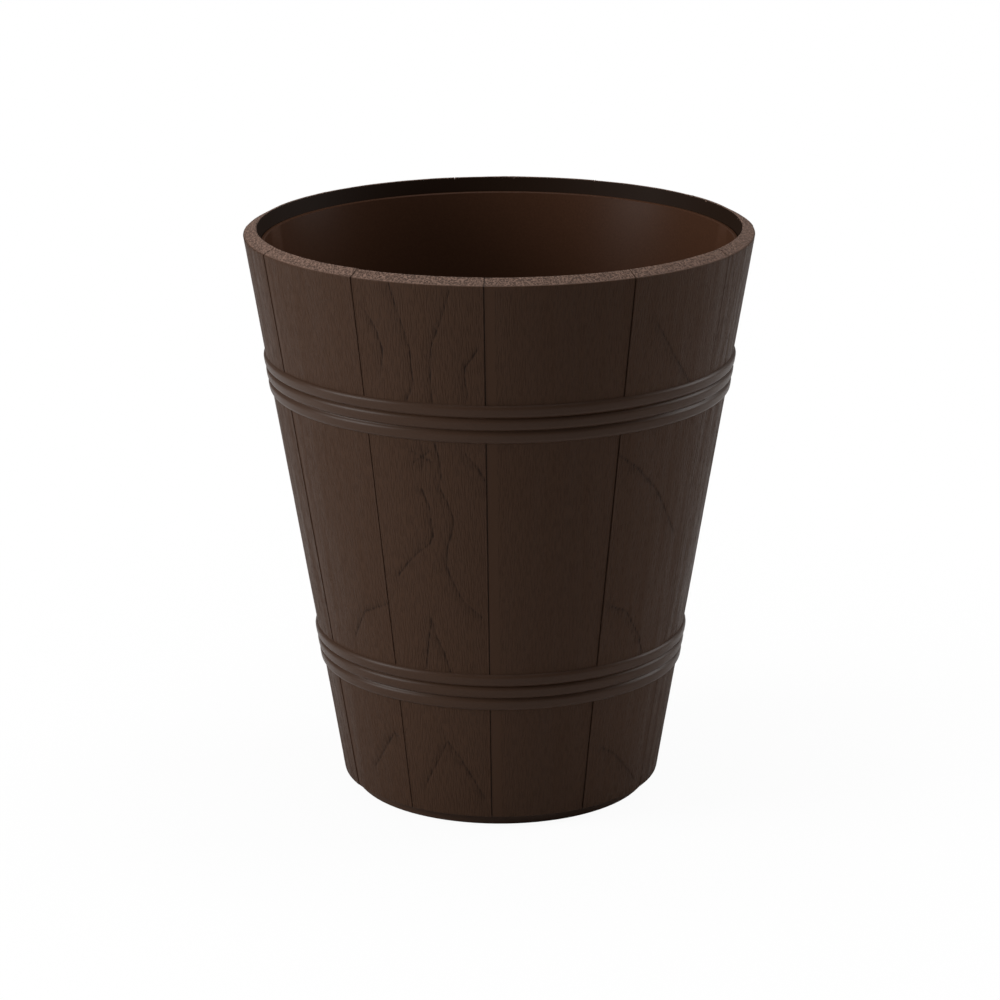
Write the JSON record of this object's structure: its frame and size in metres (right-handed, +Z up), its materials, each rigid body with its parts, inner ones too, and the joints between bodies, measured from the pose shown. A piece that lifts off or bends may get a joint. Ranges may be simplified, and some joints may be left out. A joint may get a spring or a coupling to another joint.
{
  "type": "planter",
  "caption": "Tapered round planter tub moulded as timber staves with beaded hoops, holding a lift-out liner, a slotted drainage grid and drain plugs",
  "frame": {"origin": "the centre of the foot ring's underside, on the ground", "axes": "+Z up along the tub's axis, -Y towards the pictured front, +X to the right seen from the front"},
  "size_m": [0.3004, 0.3002, 0.3429],
  "materials": {
    "shell_plastic": "dark brown, wood-grain relief",
    "liner_plastic": "smooth dark brown, satin",
    "grid_plastic": "smooth black",
    "plug_rubber": "matt black"
  },
  "bodies": {
    "tub": {"stave_shell": "shell_plastic"},
    "liner": {"inner_liner": "liner_plastic"},
    "grid": {"drainage_grid": "grid_plastic"},
    "plug_1": {"drain_plug_1": "plug_rubber"},
    "plug_2": {"drain_plug_2": "plug_rubber"},
    "plug_3": {"drain_plug_3": "plug_rubber"},
    "plug_4": {"drain_plug_4": "plug_rubber"}
  },
  "joints": [
    {"name": "liner_lift", "type": "slide", "parent": "tub", "child": "liner", "axis": [0, 0, 1], "range_m": [0, 0.34]},
    {"name": "grid_lift", "type": "slide", "parent": "liner", "child": "grid", "axis": [0, 0, 1], "range_m": [0, 0.31]},
    {"name": "plug_1_lift", "type": "slide", "parent": "tub", "child": "plug_1", "axis": [0, 0, 1], "range_m": [0, 0.012]},
    {"name": "plug_2_lift", "type": "slide", "parent": "tub", "child": "plug_2", "axis": [0, 0, 1], "range_m": [0, 0.012]},
    {"name": "plug_3_lift", "type": "slide", "parent": "tub", "child": "plug_3", "axis": [0, 0, 1], "range_m": [0, 0.012]},
    {"name": "plug_4_lift", "type": "slide", "parent": "tub", "child": "plug_4", "axis": [0, 0, 1], "range_m": [0, 0.012]}
  ]
}
